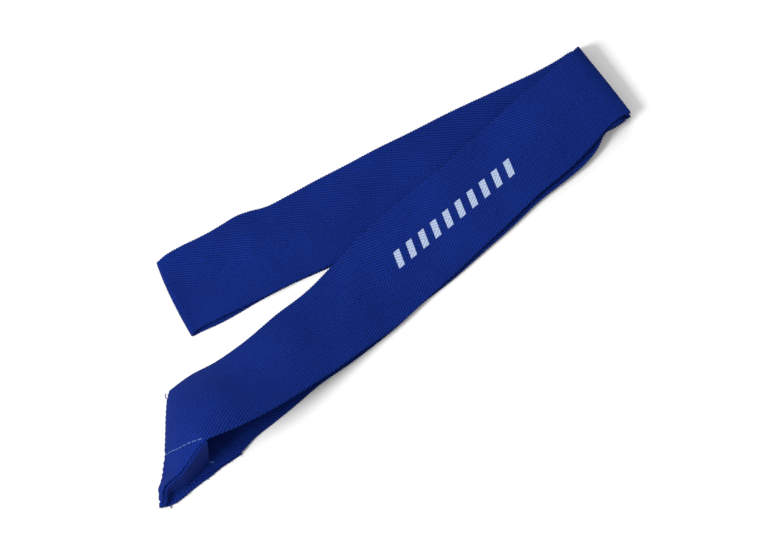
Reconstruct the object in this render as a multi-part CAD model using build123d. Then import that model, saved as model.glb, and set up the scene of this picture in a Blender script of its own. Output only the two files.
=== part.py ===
"""Flat-lying team headband: one woven tape loop, its sewn corner lap and its printed mark.

The loop is pressed flat into two plies and folded once across its middle, so it lies as two
legs: a front leg on top and a back leg that runs out from under it.  The two tape ends cross
in a corner lap, which is folded along its diagonal and stands open towards the near side.
Ply order from the top, at the middle fold: front upper, front lower, back upper, back lower.

Units are millimetres, +Z is up, +X runs along the front leg from the lap to the fold.
"""
from build123d import *
from math import atan2, cos, radians, sin
import os

# ---- driving dimensions -------------------------------------------------------------------
TAPE_WIDTH = 50.0            # selvage to selvage
TAPE_THICKNESS = 1.0         # one ply of the woven tape
FRONT_LEG = 294.5            # inner corner of the lap to the middle fold
BACK_LEG = 264.0             # middle fold to the soft turn at the far end
BACK_LEG_ANGLE = 13.1        # degrees between the two legs
PLY_GAP = 0.2                # air between plies that rest on each other

FOLD_LEAN = 5.0              # degrees by which the fold crease leans off square
FOLD_HEIGHT = 12.0           # middle of the front upper ply above the table at the fold
FOLD_LIFT = 1.0              # room under the outer ply at the fold
FOLD_INNER_RADIUS = 1.5      # bend of the inner ply round the middle fold
END_TURN_RADIUS = 1.4        # bend of the soft turn at the end of the back leg

LAP_ANGLE = 101.2            # degrees between the two tape ends where they cross
CREASE_ANGLE = 45.9          # degrees from the +X axis to the diagonal crease of the lap
MOUTH_REACH = 22.3           # plan distance of the lifted corner from the crease
MOUTH_HEIGHT = 33.0          # lifted corner above the table
LAP_LIFT = 0.5               # room under the lap for the thread of its lower face
LAP_STACK = 4.6              # height of the lap's crease, in layers, with room for its bends
LAP_START = 2.0              # the lap's fan of sections starts this far from its inner corner

THREAD = 0.4                 # sewing thread diameter
STITCH_PITCH = 3.2           # length of one lockstitch
STITCH_GAP = 0.7             # cloth showing between two stitches
THREAD_CLEARANCE = 0.05      # thread to cloth

PRINT_THICKNESS = 0.1        # ink film
PRINT_CLEARANCE = 0.08       # ink film to cloth
PRINT_BARS = 10              # slanted bars of the plain printed mark
PRINT_BAR_WIDTH = 4.0
PRINT_BAR_PITCH = 8.8
PRINT_HEIGHT = 9.0
PRINT_SLANT = 3.0            # how far a bar's far end leads its near end
PRINT_START = 140.0          # first bar from the inner corner of the lap, along the leg
PRINT_MIDDLE = -7.0          # Y of the mark's middle line

TAIL_DIAMETER = 0.4          # loose thread tails at the lap
TAIL_CLEARANCE = 0.02        # thread tail to the rolled edge of the lap

# ---- places worked out from the dimensions --------------------------------------------------
LAYER = TAPE_THICKNESS + PLY_GAP                # middle to middle of plies that rest together
FLOOR_PLY = TAPE_THICKNESS / 2                  # middle of a ply that lies on the table
INNER_CORNER = Vector(1.0, 17.0, 0.0)
CREASE_LENGTH = TAPE_WIDTH / sin(radians(LAP_ANGLE / 2))        # inner corner to outer tip
LAP_REACH = TAPE_WIDTH / cos(radians(LAP_ANGLE / 2)) / 2        # crease to the lap's lower corner
CREASE = Vector(-cos(radians(CREASE_ANGLE)), -sin(radians(CREASE_ANGLE)), 0)
ACROSS_CREASE = Vector(sin(radians(CREASE_ANGLE)), -cos(radians(CREASE_ANGLE)), 0)
FOLD_FAR = Vector(INNER_CORNER.X + FRONT_LEG, 21.0, 0)
FOLD_DIRECTION = Vector(-sin(radians(FOLD_LEAN)), -cos(radians(FOLD_LEAN)), 0)
FOLD_OUT = Vector(cos(radians(FOLD_LEAN)), -sin(radians(FOLD_LEAN)), 0)
BACK_DIRECTION = Vector(-cos(radians(BACK_LEG_ANGLE)), sin(radians(BACK_LEG_ANGLE)), 0)
BACK_NEAR = Vector(-sin(radians(BACK_LEG_ANGLE)), -cos(radians(BACK_LEG_ANGLE)), 0)
UP = Vector(0, 0, 1)


def at_height(point, height):
    """Return the point moved to a height above the table."""
    return Vector(point.X, point.Y, height)


def section(far, near, normal):
    """Return one cross-section of the tape: a thin rectangle between its two selvages."""
    along = (near - far).normalized()
    square = (normal - along * normal.dot(along)).normalized()
    half = square * (TAPE_THICKNESS / 2)
    return make_face(Polyline(far + half, near + half, near - half, far - half, close=True))


def turned(outward, degrees_up):
    """Return a normal that stands degrees_up above level on the outward side."""
    angle = radians(degrees_up)
    return outward * cos(angle) + UP * sin(angle)


# ---- corner lap -------------------------------------------------------------------------------
def lap_corners(inset):
    """Return inner corner, lifted corner, outer tip (upper and lower) and lower corner.

    inset is how far this layer lies inside the outer one, measured through the cloth.
    """
    low = LAP_LIFT + FLOOR_PLY + inset
    slope = atan2(MOUTH_HEIGHT, MOUTH_REACH)
    high = LAP_LIFT + FLOOR_PLY + LAP_STACK * LAYER - inset / cos(slope)
    middle = INNER_CORNER + CREASE * (CREASE_LENGTH / 2)
    lifted = at_height(middle + ACROSS_CREASE * MOUTH_REACH, MOUTH_HEIGHT - inset / cos(slope))
    lower = at_height(middle + ACROSS_CREASE * LAP_REACH, low)
    tip = INNER_CORNER + CREASE * CREASE_LENGTH
    return {
        "inner_high": at_height(INNER_CORNER, high),
        "inner_low": at_height(INNER_CORNER, low),
        "lifted": lifted,
        "tip_high": at_height(tip, high),
        "tip_low": at_height(tip, low),
        "lower": lower,
    }


def lap_normal(corner, upper):
    """Return the outward normal of the lap's upper or lower face."""
    if not upper:
        return -UP
    start = corner["inner_high"]
    normal = (corner["tip_high"] - start).cross(corner["lifted"] - start).normalized()
    return normal if normal.Z > 0 else -normal


def lap_sections(inset):
    """Return the fan of sections of one lap layer, from its lower face round to its upper one."""
    corner = lap_corners(inset)
    start = LAP_START / CREASE_LENGTH
    out = -ACROSS_CREASE
    centre = (corner["inner_high"].Z + corner["inner_low"].Z) / 2
    radius = (corner["inner_high"].Z - corner["inner_low"].Z) / 2
    sections = []
    for share in (0.0, 0.5, 1.0):
        edge = corner["lower"] + (corner["tip_low"] - corner["lower"]) * share
        far = corner["inner_low"] + (edge - corner["inner_low"]) * start
        sections.append(section(far, edge, -UP))
    for angle in (-45, 0):
        shift = turned(out, angle) * radius
        far = at_height(INNER_CORNER + CREASE * LAP_START, centre) + shift
        sections.append(section(far, at_height(corner["tip_high"], centre) + shift,
                                turned(out, angle)))
    for share in (0.0, 0.5, 1.0):
        edge = corner["tip_high"] + (corner["lifted"] - corner["tip_high"]) * share
        far = corner["inner_high"] + (edge - corner["inner_high"]) * start
        sections.append(section(far, edge, lap_normal(corner, True)))
    return sections


# ---- legs -------------------------------------------------------------------------------------
# Front leg stations, from lap to fold: share of the leg, middle line's Y, then for the far and
# the near selvage of the lower ply the plies that lie under it and the air under it.
FRONT_LOWER = (
    (0.06, -8.5, 0, 0.0, 0, 0.0),
    (0.20, -9.5, 0, 0.0, 0, 0.0),
    (0.34, -10.6, 1, 1.6, 0, 0.0),
    (0.44, -10.0, 2, 2.0, 0, 0.0),
    (0.56, -8.6, 2, 2.4, 0, 0.8),
    (0.70, -6.8, 2, 2.7, 1, 1.5),
    (0.86, -4.6, 2, 3.2, 2, 2.0),
)
# Air between the lower and the upper front ply at the same stations, far and near.
FRONT_OPENING = (
    (3.4, 26.3),
    (1.8, 14.6),
    (1.4, 5.1),
    (0.4, 2.0),
    (0.3, 1.0),
    (0.3, 0.6),
    (0.5, 0.5),
)
NEAR_OFFSET = 1.5            # lower ply lies this much further to the near side
# Back leg stations, from fold to end turn: share of the leg, air under the lower ply, air
# between the two plies.
BACK_AIR = (
    (0.10, 0.3, 0.2),
    (0.30, 0.0, 0.1),
    (0.55, 0.0, 0.1),
    (0.80, 0.0, 0.7),
    (0.93, 0.0, 1.4),
)


def front_heights(index, upper):
    """Return the heights of one front ply's middle at its far and near selvages."""
    far_plies, far_air, near_plies, near_air = FRONT_LOWER[index][2:]
    far = FLOOR_PLY + far_plies * LAYER + far_air
    near = FLOOR_PLY + near_plies * LAYER + near_air
    if upper:
        far += LAYER + FRONT_OPENING[index][0]
        near += LAYER + FRONT_OPENING[index][1]
    return far, near


def front_station(index, upper):
    """Return the section of one front ply at a station."""
    share, middle_y = FRONT_LOWER[index][:2]
    far_height, near_height = front_heights(index, upper)
    x = INNER_CORNER.X + share * FRONT_LEG
    middle = middle_y - (0.0 if upper else NEAR_OFFSET)
    half = (TAPE_WIDTH ** 2 - (near_height - far_height) ** 2) ** 0.5 / 2
    far = Vector(x, middle + half, far_height)
    near = Vector(x, middle - half, near_height)
    return section(far, near, UP)


def back_station(index, upper):
    """Return the section of one back ply at a station."""
    share, floor_air, ply_air = BACK_AIR[index]
    height = FLOOR_PLY + floor_air
    if upper:
        height += LAYER + ply_air
    far = FOLD_FAR + BACK_DIRECTION * (share * BACK_LEG)
    near = far + BACK_NEAR * TAPE_WIDTH
    return section(at_height(far, height), at_height(near, height), UP if upper else -UP)


def fold_sections(inner):
    """Return the half turn of one ply round the middle fold, from the front to the back leg."""
    spread = FOLD_HEIGHT - FLOOR_PLY - FOLD_LIFT
    radius = FOLD_INNER_RADIUS if inner else spread / 2
    centre = FOLD_HEIGHT - spread / 2
    near = FOLD_FAR + FOLD_DIRECTION * TAPE_WIDTH
    sections = []
    for angle in (90, 45, 0, -45, -90):
        shift = turned(FOLD_OUT, angle) * radius
        sections.append(section(at_height(FOLD_FAR, centre) + shift,
                                at_height(near, centre) + shift, turned(FOLD_OUT, angle)))
    return sections


def end_turn_sections():
    """Return the soft turn at the end of the back leg, from the lower to the upper ply."""
    far = FOLD_FAR + BACK_DIRECTION * (BACK_LEG - END_TURN_RADIUS)
    near = far + BACK_NEAR * TAPE_WIDTH
    sections = []
    for angle in (-90, -45, 0, 45, 90):
        shift = turned(BACK_DIRECTION, angle) * END_TURN_RADIUS
        height = FLOOR_PLY + END_TURN_RADIUS
        sections.append(section(at_height(far, height) + shift,
                                at_height(near, height) + shift,
                                turned(BACK_DIRECTION, angle)))
    return sections


def woven_tape():
    """Return the whole tape from one cut end to the other as a single thin solid."""
    front = range(len(FRONT_LOWER))
    back = range(len(BACK_AIR))
    outer_end = lap_sections(0.0)
    inner_end = lap_sections(LAYER)
    sections = outer_end
    sections += [front_station(index, True) for index in front]
    sections += fold_sections(False)
    sections += [back_station(index, False) for index in back]
    sections += end_turn_sections()
    sections += [back_station(index, True) for index in reversed(back)]
    sections += list(reversed(fold_sections(True)))
    sections += [front_station(index, False) for index in reversed(front)]
    sections += inner_end
    return loft(sections, ruled=True)


# ---- sewing and loose threads -----------------------------------------------------------------
# Each row of lockstitches, as shares of the lap: along the front leg, then from its far to its
# near selvage.  A row on both faces turns round the crease where the two shares are equal.
SEAM_ROWS = {
    "inner_row": (((0.04, 0.10), (0.04, 0.94)),),
    "middle_row": (((0.06, 0.90), (0.49, 0.56)), ((0.57, 0.48), (0.94, 0.20))),
    "outer_row": (((0.40, 0.95), (0.67, 0.74)), ((0.76, 0.68), (0.95, 0.52))),
}


# Loose thread ends: where each leaves the lap's crease, and its bends from there.
LOOSE_THREADS = {
    "inner_corner": (6.0, ((-0.8, 1.6, 0.2), (0.0, 3.4, 0.3), (2.0, 4.0, 0.0))),
    "upper_tip": (52.0, ((-1.0, 0.6, 0.2), (-1.6, 1.8, 0.2))),
    "lower_tip": (62.0, ((-1.2, -0.4, -0.2), (-2.2, -1.4, -0.6))),
}


def lap_point(corner, along, across):
    """Return the point of a lap layer at two shares, on whichever face of the crease it lies."""
    if across >= along:
        start, side, tip = corner["inner_high"], corner["lifted"], corner["tip_high"]
        return start + (side - start) * across + (tip - side) * along
    start, side, tip = corner["inner_low"], corner["lower"], corner["tip_low"]
    return start + (side - start) * along + (tip - side) * across


def stitches(runs, inset, side):
    """Return the stitches of one thread of a seam row, one small round bar for each stitch."""
    corner = lap_corners(inset)
    bars = []
    for first, last in runs:
        begin = lap_point(corner, *first)
        end = lap_point(corner, *last)
        upper = first[1] >= first[0]
        offset = side * (TAPE_THICKNESS / 2 + THREAD_CLEARANCE + THREAD / 2)
        shift = lap_normal(corner, upper) * offset
        run = end - begin
        count = int(run.length / STITCH_PITCH)
        for index in range(count):
            middle = begin + run * ((index + 0.5) / count) + shift
            bar = Cylinder(THREAD / 2, run.length / count - STITCH_GAP)
            bars.append(Plane(origin=middle, z_dir=run.normalized()) * bar)
    return Compound(bars)


def thread_tail(along_crease, points):
    """Return one loose thread end: a thin round tube that curls off the rolled edge of the lap.

    along_crease is where it leaves the edge, points are its bends from there in the plan.
    """
    corner = lap_corners(0.0)
    centre = (corner["inner_high"].Z + corner["inner_low"].Z) / 2
    radius = (corner["inner_high"].Z - corner["inner_low"].Z) / 2
    reach = radius + TAPE_THICKNESS / 2 + TAIL_CLEARANCE + TAIL_DIAMETER / 2
    start = at_height(INNER_CORNER + CREASE * along_crease - ACROSS_CREASE * reach, centre)
    path = Spline([start] + [start + Vector(*point) for point in points])
    profile = Plane(origin=start, z_dir=path % 0) * Circle(TAIL_DIAMETER / 2)
    return sweep(profile, path)


# ---- printed mark -----------------------------------------------------------------------------
def front_upper_point(along, y):
    """Return a point on the top of the front upper ply, along the leg and at a plan Y."""
    reached = [index for index, row in enumerate(FRONT_LOWER) if row[0] * FRONT_LEG <= along]
    first = reached[-1]
    last = first + 1
    span = (FRONT_LOWER[last][0] - FRONT_LOWER[first][0]) * FRONT_LEG
    share = (along - FRONT_LOWER[first][0] * FRONT_LEG) / span
    edges = []
    for index in (first, last):
        far_height, near_height = front_heights(index, True)
        across = (FRONT_LOWER[index][1] + TAPE_WIDTH / 2 - y) / TAPE_WIDTH
        edges.append(far_height + (near_height - far_height) * across)
    height = edges[0] + (edges[1] - edges[0]) * share + TAPE_THICKNESS / 2
    return Vector(INNER_CORNER.X + along, y, height)


def printed_mark():
    """Return the plain mark of slanted ink bars on the front upper ply."""
    bars = []
    for index in range(PRINT_BARS):
        along = PRINT_START + index * PRINT_BAR_PITCH
        near_y = PRINT_MIDDLE - PRINT_HEIGHT / 2
        far_y = PRINT_MIDDLE + PRINT_HEIGHT / 2
        lift = UP * PRINT_CLEARANCE
        first = front_upper_point(along, near_y) + lift
        second = front_upper_point(along + PRINT_BAR_WIDTH, near_y) + lift
        fourth = front_upper_point(along + PRINT_SLANT, far_y) + lift
        third = second + (fourth - first)
        outline = make_face(Polyline(first, second, third, fourth, close=True))
        bars.append(extrude(outline, PRINT_THICKNESS, dir=UP))
    return Compound(bars)


# ---- the object, with its origin on the table under the middle of its box ----------------------
os.makedirs("parts", exist_ok=True)
pieces = {"woven_tape": woven_tape(), "printed_mark": printed_mark()}
for row, runs in SEAM_ROWS.items():
    pieces[f"needle_thread_{row}"] = stitches(runs, 0.0, 1)
    pieces[f"bobbin_thread_{row}"] = stitches(runs, LAYER, -1)
for tail, (along_crease, points) in LOOSE_THREADS.items():
    pieces[f"loose_thread_{tail}"] = thread_tail(along_crease, points)
box = Compound(list(pieces.values())).bounding_box()
to_origin = Location((-box.center().X, -box.center().Y, -box.min.Z))
for name, piece in pieces.items():
    placed = piece.moved(to_origin)
    print(name, "valid", placed.is_valid, "volume", round(placed.volume, 2))
    export_step(placed, f"parts/{name}.step")
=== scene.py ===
"""A loop of wide woven cotton tape, pressed flat and folded once: a team headband at rest.

The tape is one continuous band.  Its two ends cross in a corner lap that is folded along its
diagonal and stands open like a mouth, and from there the band runs out and back as two legs.
Every surface is computed in millimetres in the loop's own frame: +X along the front leg from
the lap to the middle fold, +Y towards the back leg, +Z up, and then moved to the row frame.
"""
import logging
from dataclasses import dataclass, field
from enum import Enum
from typing import ClassVar

import bpy
import numpy as np
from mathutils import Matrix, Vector


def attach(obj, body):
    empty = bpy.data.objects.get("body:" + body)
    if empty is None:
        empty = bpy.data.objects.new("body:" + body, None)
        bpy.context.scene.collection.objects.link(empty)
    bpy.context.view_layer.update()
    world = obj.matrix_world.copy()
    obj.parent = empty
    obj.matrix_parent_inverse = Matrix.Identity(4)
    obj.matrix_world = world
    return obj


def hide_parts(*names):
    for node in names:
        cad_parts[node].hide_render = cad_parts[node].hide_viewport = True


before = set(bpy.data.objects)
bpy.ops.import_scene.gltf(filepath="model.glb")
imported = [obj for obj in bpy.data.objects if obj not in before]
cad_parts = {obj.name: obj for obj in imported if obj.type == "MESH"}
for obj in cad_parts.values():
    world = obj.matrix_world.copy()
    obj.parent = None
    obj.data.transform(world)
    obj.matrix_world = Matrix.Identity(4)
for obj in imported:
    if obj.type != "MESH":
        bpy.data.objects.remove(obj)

Array = np.ndarray
Span = tuple[float, float]
Point = tuple[float, float, float]
Pairs = tuple[tuple[float, float], ...]
Node, Tree = bpy.types.Node, bpy.types.NodeTree
Object, Material = bpy.types.Object, bpy.types.Material

LOG = logging.getLogger("headband")
MM = 0.001
# From the loop's own frame to the row frame: the box centre of the loop on the table.
TO_ROW_FRAME = np.array([-127.108, -21.930, 0.0])

TAPE_WIDTH = 50.0            # selvage to selvage
TAPE_THICKNESS = 0.95        # one ply
ROW_PITCH = 0.8              # rows of the mesh along the tape, half a selvage bump
LAYER = 1.2                  # middle to middle of two plies that rest together
WALE_ANGLE = 24.5            # degrees between the twill lines and the tape's length
WALE_PITCH = 1.46            # twill lines, measured square to them
PICK_PITCH = 0.88            # weft yarns along the tape
WALE_SHARE = 0.40            # part of the weave's height that the wales make, each way
PICK_SHARE = 0.10            # part that the picks make
SELVAGE_PITCH = 1.6          # bumps of the turning weft at the selvage
SELVAGE_BUMP = 0.2           # how far each bump stands out
RIM_SHARES = (0.0, 0.0028, 0.0085)   # columns of the mesh that round the selvage
FACE_MARGIN = 0.02           # share of the width where the flat face begins
FLOOR_GAP = 0.02             # least gap between the cloth and the floor
TUBE_UP = (0.13, 0.21, 0.97)         # a direction that no thread runs along
THREAD_SIDES = 6             # vertices around a sewing thread
YARN_SIDES = 8               # vertices around a loose yarn
FRAY_SIDES = 5               # vertices around a frayed one
# Unevenness of worn cloth.  A ripple is a height and sine waves that are multiplied; a wave is
# its length over 2 pi, its turn from one selvage to the other, and its phase.
RIPPLES = ((0.128, ((9.1, 2.0, 0.0), (23.0, 5.0, 0.0))),
           (0.08, ((5.3, -3.0, 1.0),)),
           (0.08, ((14.7, 6.0, 0.0),)))
# Sway of the selvages: its amount, length over 2 pi and phase.
SWAYS = ((0.22, 6.7, 0.0), (0.18, 15.9, 1.3))


class Side(Enum):
    """Faces of the lap that a row of stitches shows on."""

    NEEDLE = "needle"
    BOBBIN = "bobbin"


class Slot(Enum):
    """Material slots of the record."""

    TAPE = "cotton_tape"
    THREAD = "sewing_thread"
    YARN = "tape_yarn"
    INK = "print_ink"


# ---- small numeric helpers ----
def smooth(x: Array, low: float, high: float) -> Array:
    """Return 0 below low, 1 above high and a cubic ease between them.

    Args:
        x: values to ease.
        low: where the ease starts.
        high: where the ease ends.

    Returns:
        The eased values, from 0 to 1.
    """
    t = np.clip((np.asarray(x, float) - low) / (high - low), 0.0, 1.0)
    return t * t * (3.0 - 2.0 * t)


def fade(distance: Array, reach: float) -> Array:
    """Return a bell curve: 1 at distance 0, 1/e at reach, squared distance in its exponent."""
    return np.exp(-(distance / reach) ** 2)


def unit(vectors: Array) -> Array:
    """Return the vectors with length one along their last axis."""
    return vectors / np.maximum(np.linalg.norm(vectors, axis=-1, keepdims=True), 1e-9)


def hermite(knots: Array, values: Array, at: Array) -> Array:
    """Return a smooth curve through values: piecewise cubics with slopes of the mean chord.

    Args:
        knots: increasing parameter of each value, shape (n,).
        values: one row of numbers for each knot, shape (n, k).
        at: parameters to evaluate, shape (m,).

    Returns:
        The interpolated rows, shape (m, k).
    """
    step = np.diff(knots)[:, None]
    chord = np.diff(values, axis=0) / step
    slope = np.empty_like(values)
    slope[1:-1] = (chord[:-1] * step[1:] + chord[1:] * step[:-1]) / (step[1:] + step[:-1])
    slope[0], slope[-1] = chord[0], chord[-1]
    index = np.clip(np.searchsorted(knots, at, side="right") - 1, 0, len(knots) - 2)
    width = step[index, 0]
    t = ((at - knots[index]) / width)[:, None]
    width = width[:, None]
    return (
        (2 * t**3 - 3 * t**2 + 1) * values[index]
        + (t**3 - 2 * t**2 + t) * width * slope[index]
        + (3 * t**2 - 2 * t**3) * values[index + 1]
        + (t**3 - t**2) * width * slope[index + 1]
    )


def hex_to_linear(code: str) -> tuple[float, float, float, float]:
    """Return the linear RGBA of an sRGB hex code such as #1a2b3c."""
    raw = np.array([int(code[i:i + 2], 16) for i in (1, 3, 5)]) / 255.0
    linear = np.where(raw <= 0.04045, raw / 12.92, ((raw + 0.055) / 1.055) ** 2.4)
    return (*linear.tolist(), 1.0)


def mesh_object(name: str, points: Array, faces: Array,
                uv: Array | None = None) -> Object:
    """Return a smooth-shaded mesh object from arrays in the loop's frame, in millimetres.

    Args:
        name: name of the object and its mesh.
        points: vertices, shape (n, 3).
        faces: quads as vertex indices, shape (m, 4).
        uv: tape coordinates of the vertices in metres, shape (n, 2).

    Returns:
        The object, linked to the scene, at the origin of the row frame.
    """
    mesh = bpy.data.meshes.new(name)
    mesh.from_pydata(((points + TO_ROW_FRAME) * MM).tolist(), [], faces.tolist())
    mesh.polygons.foreach_set("use_smooth", np.ones(len(faces), bool))
    if uv is not None:
        layer = mesh.uv_layers.new(name="tape")
        corner = np.empty(len(mesh.loops), np.int32)
        mesh.loops.foreach_get("vertex_index", corner)
        layer.data.foreach_set("uv", uv[corner].astype(np.float32).ravel())
    mesh.update()
    mesh.validate()
    obj = bpy.data.objects.new(name, mesh)
    bpy.context.scene.collection.objects.link(obj)
    return obj


def grid_faces(rows: int, columns: int, closed: bool, copies: int = 1) -> Array:
    """Return the quads of grids of vertices stored row by row, one grid after the other.

    Args:
        rows: number of rows.
        columns: vertices in each row.
        closed: whether the last column joins the first one.
        copies: number of grids.

    Returns:
        Vertex indices, shape (m, 4).
    """
    first = np.arange(columns if closed else columns - 1)
    second = (first + 1) % columns
    base = (np.arange(rows - 1) * columns)[:, None]
    quads = np.stack([base + first, base + columns + first,
                      base + columns + second, base + second], axis=-1)
    starts = np.arange(copies)[:, None, None, None] * rows * columns
    return (quads + starts).reshape(-1, 4)


def tubes(paths: Array, radius: Array, sides: int) -> tuple[Array, Array]:
    """Return round tubes with open ends: circles square to each path's tangent.

    Args:
        paths: centre points, shape (tubes, rings, 3).
        radius: radius at each ring, shape (rings,).
        sides: vertices around.

    Returns:
        The vertices, shape (tubes * rings * sides, 3), and the quads.
    """
    tangent = unit(np.gradient(paths, axis=1))
    side = unit(np.cross(tangent, np.array(TUBE_UP)))
    up = np.cross(side, tangent)
    angle = np.linspace(0, 2 * np.pi, sides, endpoint=False)[:, None]
    ring = side[..., None, :] * np.cos(angle) + up[..., None, :] * np.sin(angle)
    points = paths[..., None, :] + ring * radius[:, None, None]
    return points.reshape(-1, 3), grid_faces(paths.shape[1], sides, True, len(paths))


# ---- the corner lap ----
@dataclass(frozen=True)
class CornerLap:
    """The rhombus where the two tape ends cross, folded along its diagonal crease.

    A point of the rhombus has two shares: a along the outer end's length and b across it.  The
    crease is the line a = b.  Its distance from the crease is d and its place along it is r.
    The folded cross-section is one curve whose direction turns with d, from lying on the table
    (180 degrees), through the crease, to a steep wall that leans over more and more.

    Attributes:
        corner: inner corner of the lap in the plan.
        heading: direction of the crease in the plan, in degrees.
        half: half angle between the two crossing tapes, in degrees.
        crease_half: half length of the turn at the crease, along the cloth.
        wall: slope of the upper face where it leaves the crease, in degrees.
        ease: how many degrees the upper face leans over up to its lifted corner.
        low: height of the outer ply's middle under the lap.
        lead: how far the lifted corner lies towards the tip.
        pull: how far the tip is drawn out along the crease.
        waves: bulge of the rolled edge outwards, by place along the crease.
        swell: how far the upper face sags over the mouth, by place along the crease.
        trim: how far the outer end runs past its square cut, by share across it.
        trim_power: how fast that trim fades away from the cut.
        section: first and last distance from the crease, and points, of the cross-section.
        lean_limit: share of the upper face's width at which it stops leaning over more.
        outset: how far the crease lies outside the line through the corner.
        spread: how much wider than flat the lower layer lies, per distance from the crease.
        spread_loss: how much of that is lost at the tip.
        spread_fade: places along the crease between which it is lost.
        spread_from: distance from the crease where the spread starts.
        wave_reach: distance from the crease over which the waves fade.
        swell_rise: distances from the crease between which the sag sets in.
        swell_fall: distances between which a sagging face also gets lower.
        swell_drop: how much lower, as a share of the sag.
        pull_span: places along the crease between which the tip is drawn out.
    """

    corner: Span = (1.3, 16.9)
    heading: float = 225.9
    half: float = 50.6
    crease_half: float = 2.4
    wall: float = 77.5
    ease: float = 53.0
    low: float = 1.0
    lead: float = 1.1
    pull: float = 1.7
    waves: Pairs = (
        (0.0, -0.6), (7.0, 0.5), (17.0, 0.2), (28.0, -0.3), (37.0, -0.6),
        (41.0, 0.0), (48.0, 0.5), (56.0, 0.9), (61.0, 1.1), (65.0, 0.6))
    swell: Pairs = (
        (34.0, 0.0), (42.0, 2.2), (48.5, 2.9), (50.5, 2.0), (52.5, 0.8), (55.0, -0.6),
        (58.0, 0.2), (60.0, 1.6), (62.0, 2.4), (66.0, 2.4))
    trim: Pairs = (
        (0.0, 0.5), (0.23, 0.9), (0.32, 1.3), (0.39, 2.0), (0.50, 2.1), (0.62, 2.5),
        (0.75, 3.3), (0.85, 3.5), (0.93, 2.1), (1.0, 0.2))
    trim_power: int = 6
    section: tuple[float, float, int] = (-48.0, 60.0, 2161)
    lean_limit: float = 1.2
    outset: float = 1.5
    spread: float = 0.085
    spread_loss: float = 0.05
    spread_fade: Span = (36.0, 58.0)
    spread_from: float = 3.0
    wave_reach: float = 14.0
    swell_rise: Span = (-1.0, 4.0)
    swell_fall: Span = (4.0, 16.0)
    swell_drop: float = 0.4
    pull_span: Span = (40.0, 66.0)

    @property
    def side(self) -> float:
        """Length of a side of the rhombus."""
        return TAPE_WIDTH / np.sin(np.radians(2 * self.half))

    @property
    def skew(self) -> float:
        """How far a side of the rhombus leans along the tape."""
        return -self.side * np.cos(np.radians(2 * self.half))

    def profile(self) -> tuple[Array, Array, Array, Array]:
        """Return the folded cross-section.

        Its direction is the flat angle less the turn at the crease and the lean beyond it; the
        sums of the direction's cosine and sine along the cloth give the place and the height.

        Returns:
            Distances from the crease, places across, heights, and directions in radians.
        """
        d = np.linspace(*self.section)
        reach = self.side * np.sin(np.radians(self.half))
        turn = smooth(d, -self.crease_half, self.crease_half)
        theta = (np.radians(180.0) - np.radians(180.0 - self.wall) * turn
                 - np.radians(self.ease) * np.clip(d / reach, 0.0, self.lean_limit))
        step = np.diff(d)
        middle = (theta[1:] + theta[:-1]) / 2
        across = np.concatenate([[0.0], np.cumsum(np.cos(middle) * step)])
        height = np.concatenate([[0.0], np.cumsum(np.sin(middle) * step)])
        return d, across - across.min() - self.outset, height - height.min() + self.low, theta

    def surface(self, a: Array, b: Array, inset: float) -> Array:
        """Return the middle of one lap layer at shares a and b.

        The folded section gives the place across the crease and the height for d, r gives the
        place along it, and the spread, waves, sag, lead and pull are then added to these.

        Args:
            a: share along the outer end.
            b: share across the outer end.
            inset: how far the layer lies inside the outer one.

        Returns:
            Points in the loop's frame, with the shape of a and b and a last axis of three.
        """
        a, b = np.broadcast_arrays(np.asarray(a, float), np.asarray(b, float))
        half = np.radians(self.half)
        r = (a + b) * self.side * np.cos(half)
        d = (b - a) * self.side * np.sin(half)
        knots, across, height, theta = self.profile()
        q = np.interp(d, knots, across)
        z = np.interp(d, knots, height)
        angle = np.interp(d, knots, theta)
        q = q + np.sin(angle) * inset
        z = z - np.cos(angle) * inset
        spread = self.spread - self.spread_loss * smooth(r, *self.spread_fade)
        q = q + np.clip(-self.spread_from - d, 0.0, None) * spread
        place, bulge = np.array(self.waves).T
        q = q - np.interp(r, place, bulge) * fade(d, self.wave_reach)
        place, sag = np.array(self.swell).T
        sag = np.interp(r, place, sag) * smooth(d, *self.swell_rise)
        q = q + sag
        z = z - self.swell_drop * sag * smooth(d, *self.swell_fall)
        r = r + self.lead * np.clip(d, 0.0, None) / (self.side * np.sin(half))
        r = r + self.pull * smooth(r, *self.pull_span)
        direction = np.radians(self.heading)
        crease = np.array([np.cos(direction), np.sin(direction), 0.0])
        inward = np.array([-np.sin(direction), np.cos(direction), 0.0])
        corner = np.array([*self.corner, 0.0])
        return (corner + crease * r[..., None] + inward * q[..., None]
                + np.array([0.0, 0.0, 1.0]) * z[..., None])


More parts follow.
